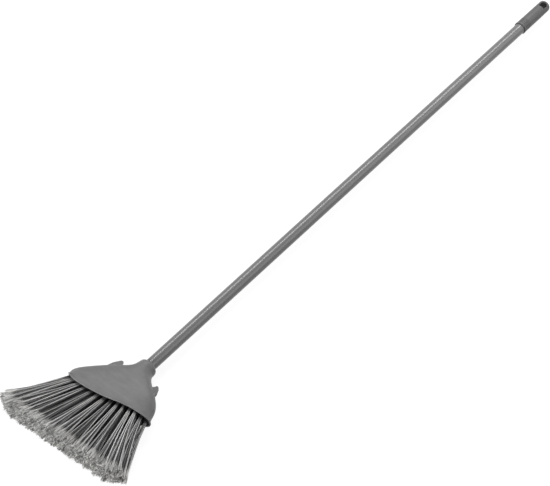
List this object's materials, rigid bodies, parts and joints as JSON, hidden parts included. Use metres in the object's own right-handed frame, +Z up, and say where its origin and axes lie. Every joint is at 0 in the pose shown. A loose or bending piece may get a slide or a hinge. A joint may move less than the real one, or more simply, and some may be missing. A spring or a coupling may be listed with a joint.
{
  "type": "telescopic broom",
  "caption": "Telescopic fan broom: flared plastic head with notched ears and splayed bristle tufts, a tube handle that extends and locks by a twist, and a grip with a hang hole.",
  "frame": {"origin": "on the floor, below the middle of the broom's bounding box as it lies on its back, pushed shut", "axes": "+X along the handle from the head to the grip, +Y towards the head's long side, +Z up, which is the way the front of the head faces"},
  "size_m": [1.425, 0.279, 0.0443],
  "materials": {
    "cap_plastic": "satin moulded polypropylene, mid grey",
    "block_plastic": "plain moulded polypropylene, dark grey",
    "bristles": "straight synthetic filaments with pale frayed tips",
    "coated_steel": "semi-gloss grey coating",
    "inner_steel": "zinc-plated drawn tube",
    "steel": "zinc-plated",
    "lock_plastic": "plain moulded plastic",
    "grip_plastic": "satin moulded polypropylene, darker grey"
  },
  "bodies": {
    "broom": {"head_cap": "cap_plastic", "brush_block": "block_plastic", "bristle_row_1": "bristles", "bristle_row_2": "bristles", "bristle_row_3": "bristles", "bristle_row_4": "bristles", "bristle_row_5": "bristles", "tuft_staples": "steel", "block_screws": "steel", "tube_plug": "lock_plastic", "neck_screw": "steel", "outer_tube": "coated_steel", "guide_bush": "lock_plastic"},
    "expander": {"expander_sleeve": "lock_plastic"},
    "pole": {"inner_tube": "inner_steel", "lock_plug": "lock_plastic", "lock_screw": "steel", "stop_washer": "steel", "grip": "grip_plastic"},
    "cone": {"cone_nut": "lock_plastic"}
  },
  "joints": [
    {"name": "telescope", "type": "slide", "parent": "broom", "child": "expander", "axis": [1, 0, 0], "range_m": [0, 0.4]},
    {"name": "twist_lock", "type": "hinge", "parent": "expander", "child": "pole", "pos_m": [0.209, -0.01, 0.02217], "axis": [1, 0, 0], "range_deg": [0, 360]},
    {"name": "cone_travel", "type": "slide", "parent": "expander", "child": "cone", "axis": [1, 0, 0], "range_m": [-0.002, 0]}
  ],
  "couplings": [
    {"joint": "cone_travel", "follows": "twist_lock", "m_per_rad": -0.000318}
  ]
}
